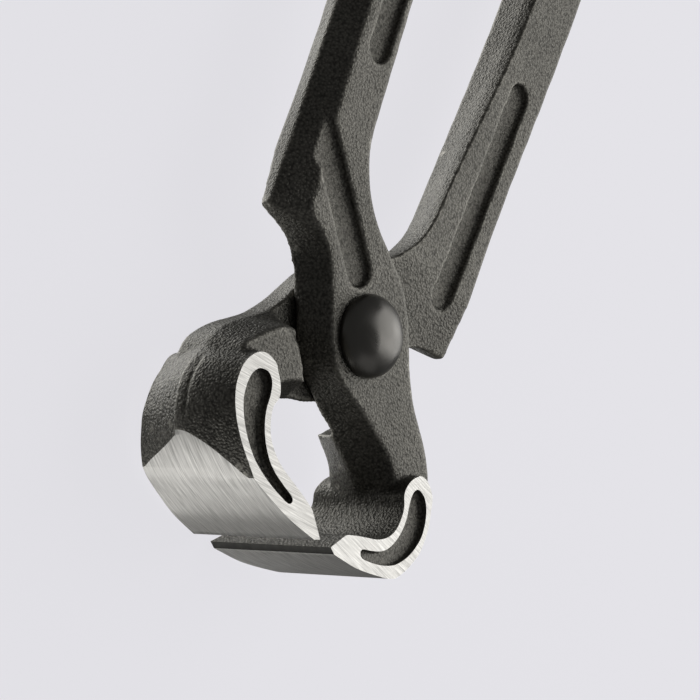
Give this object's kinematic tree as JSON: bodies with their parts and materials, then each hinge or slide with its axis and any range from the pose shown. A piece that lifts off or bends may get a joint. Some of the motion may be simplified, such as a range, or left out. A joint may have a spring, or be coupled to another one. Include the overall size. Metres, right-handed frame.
{
  "type": "end cutting nippers",
  "caption": "Forged end cutting nippers: crossed levers turn on a domed rivet and close broad curved jaws with ground edges that lie square to the long handles.",
  "frame": {"origin": "bottom centre of the box around the nippers as they lie flat with the pivot axis upright", "axes": "+Y along the nippers from the jaws to the handle ends, +Z along the pivot axis, +X across the levers"},
  "size_m": [0.0576, 0.21, 0.025],
  "materials": {
    "forged_steel": "matt black finished forging, bright ground at the jaw ends and edge bevels",
    "rivet_steel": "smooth black, half gloss"
  },
  "bodies": {
    "front": {"front_lever": "forged_steel", "pivot_rivet": "rivet_steel"},
    "rear": {"rear_lever": "forged_steel"}
  },
  "joints": [
    {"name": "pivot", "type": "hinge", "parent": "front", "child": "rear", "pos_m": [0, -0.069, 0.0125], "axis": [0, 0, -1], "range_deg": [-4, 31]}
  ]
}
